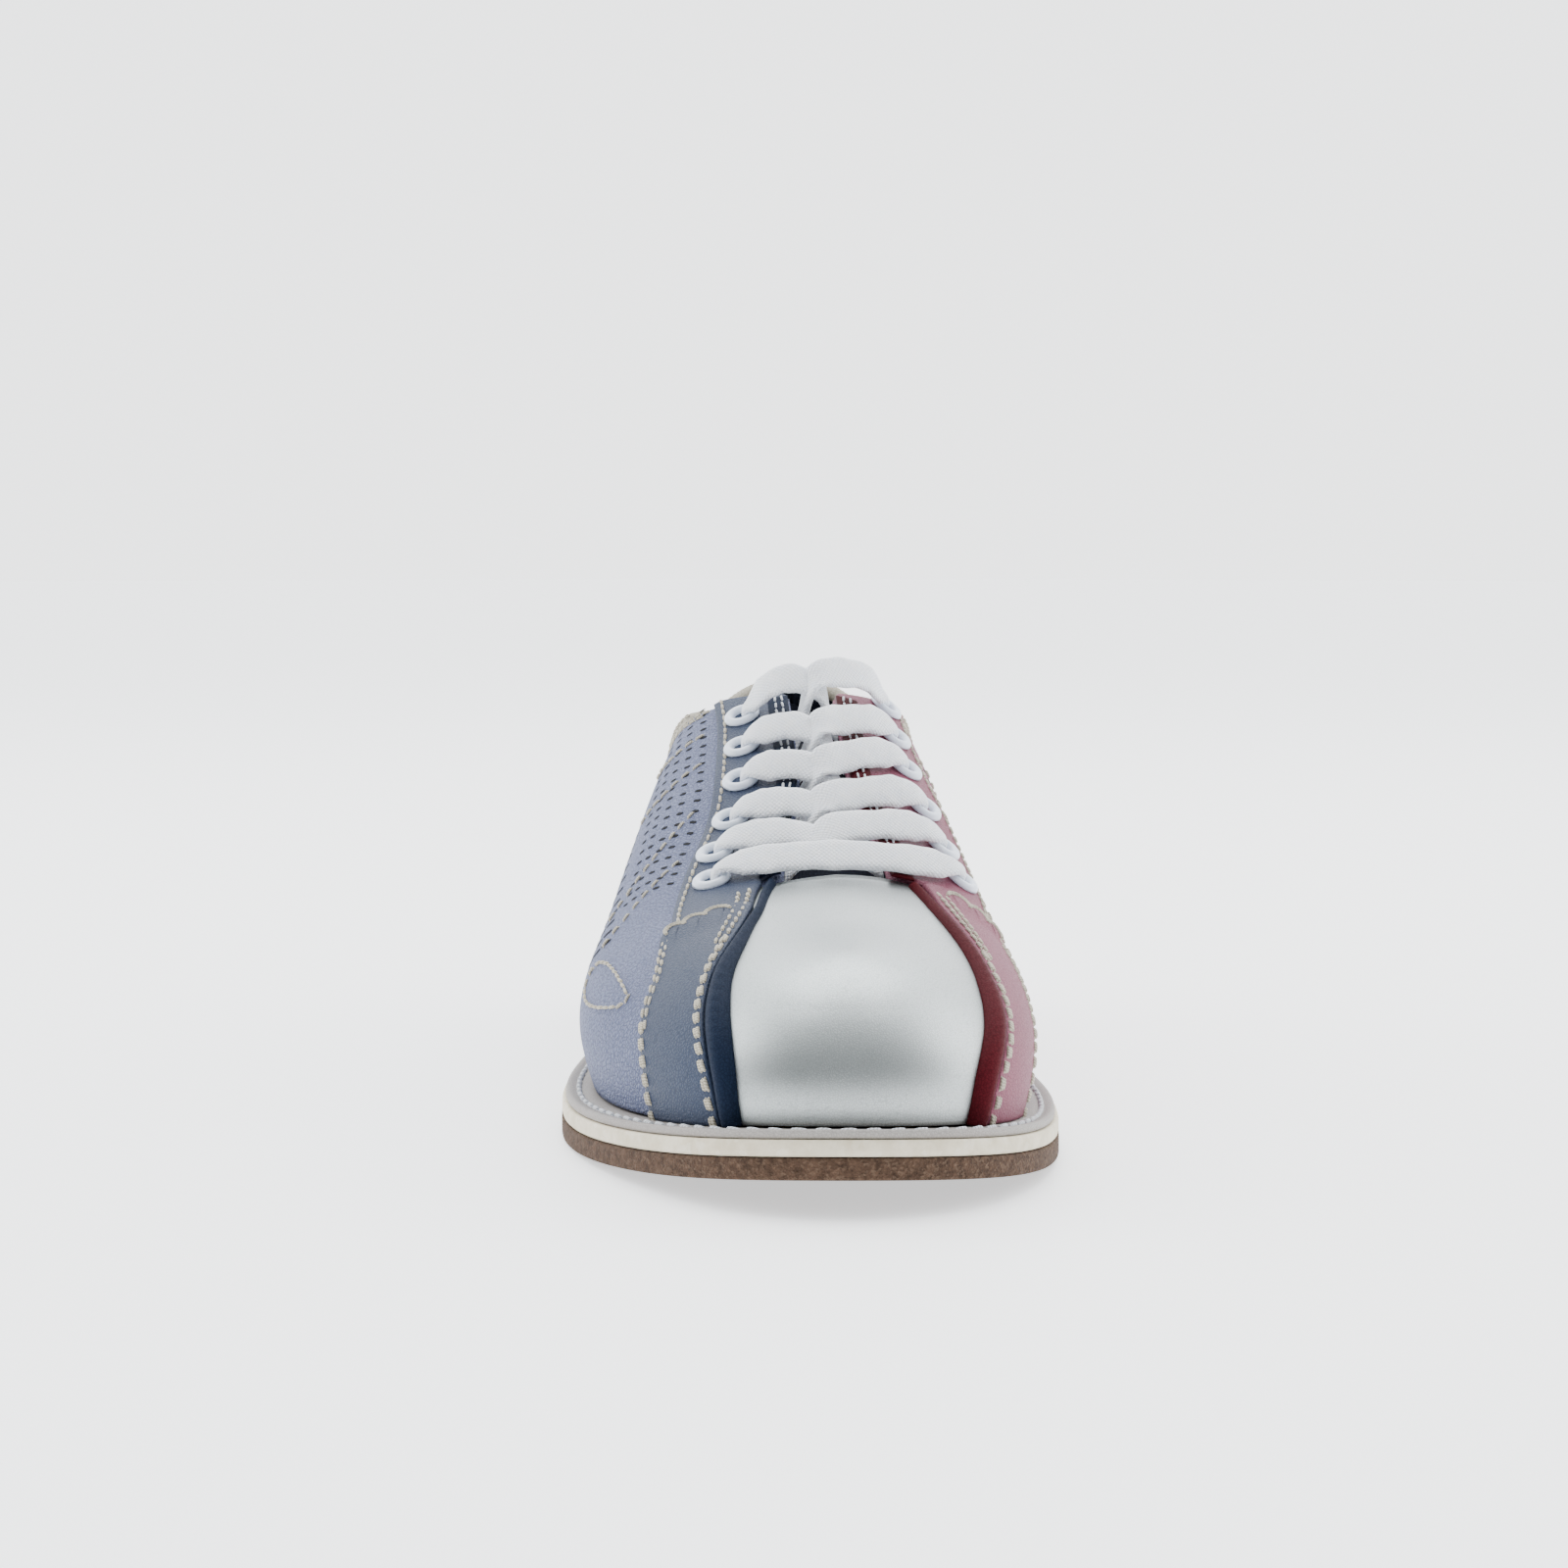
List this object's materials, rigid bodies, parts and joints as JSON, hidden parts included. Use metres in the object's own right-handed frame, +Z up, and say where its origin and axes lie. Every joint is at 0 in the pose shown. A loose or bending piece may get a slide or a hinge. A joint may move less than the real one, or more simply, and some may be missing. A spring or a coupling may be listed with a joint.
{
  "type": "bowling shoe",
  "caption": "Low lace-up bowling shoe for the right foot, with a panelled leather upper, a welted sole and a laced throat over a movable tongue.",
  "frame": {"origin": "centre of the plan outline, on the floor", "axes": "+Y from the toe to the heel, +X towards the inner side of the foot, +Z up"},
  "size_m": [0.1114, 0.304, 0.0959],
  "materials": {
    "outsole_rubber": "matte",
    "midsole_cream": "satin",
    "welt_leather": "matte",
    "cork": "matte",
    "shank_steel": "satin",
    "board": "matte",
    "black_rubber": "matte",
    "heel_leather": "matte",
    "navy_cloth": "matte",
    "silver_leather": "satin metallic",
    "stiffener": "matte",
    "beige_leather": "matte",
    "navy_leather": "satin",
    "wine_leather": "satin",
    "slate_leather": "matte",
    "rose_leather": "matte",
    "lavender_leather": "matte",
    "pink_leather": "matte",
    "eyelet_white": "gloss",
    "lace_white": "matte",
    "clear_plastic": "gloss",
    "soft_foam": "matte"
  },
  "bodies": {
    "shoe": {"outsole": "outsole_rubber", "midsole": "midsole_cream", "welt": "welt_leather", "forepart_filler": "cork", "shank": "shank_steel", "heel_seat_filler": "cork", "insole_board": "board", "footbed": "navy_cloth", "heel_top_piece": "black_rubber", "heel_block": "heel_leather", "vamp": "silver_leather", "vamp_lining": "beige_leather", "toe_puff": "stiffener", "edge_roll_lateral": "navy_leather", "wing_lateral": "slate_leather", "facing_lateral": "slate_leather", "quarter_lateral": "lavender_leather", "quarter_lining_lateral": "navy_cloth", "edge_roll_medial": "wine_leather", "wing_medial": "rose_leather", "facing_medial": "rose_leather", "quarter_medial": "pink_leather", "quarter_lining_medial": "navy_cloth", "heel_counter": "stiffener", "heel_strip": "slate_leather", "collar_binding": "beige_leather", "collar_pad": "navy_cloth", "lace": "lace_white", "aglet_outer": "clear_plastic", "aglet_inner": "clear_plastic", "eyelet_lateral_1": "eyelet_white", "eyelet_lateral_2": "eyelet_white", "eyelet_lateral_3": "eyelet_white", "eyelet_lateral_4": "eyelet_white", "eyelet_lateral_5": "eyelet_white", "eyelet_lateral_6": "eyelet_white", "eyelet_medial_1": "eyelet_white", "eyelet_medial_2": "eyelet_white", "eyelet_medial_3": "eyelet_white", "eyelet_medial_4": "eyelet_white", "eyelet_medial_5": "eyelet_white", "eyelet_medial_6": "eyelet_white"},
    "tongue": {"tongue_outer": "navy_cloth", "tongue_padding": "soft_foam", "tongue_lining": "navy_cloth"}
  },
  "joints": [
    {"name": "tongue_hinge", "type": "hinge", "parent": "shoe", "child": "tongue", "pos_m": [0.0065, -0.05, 0.046], "axis": [1, 0, 0], "range_deg": [-11, 0]}
  ]
}
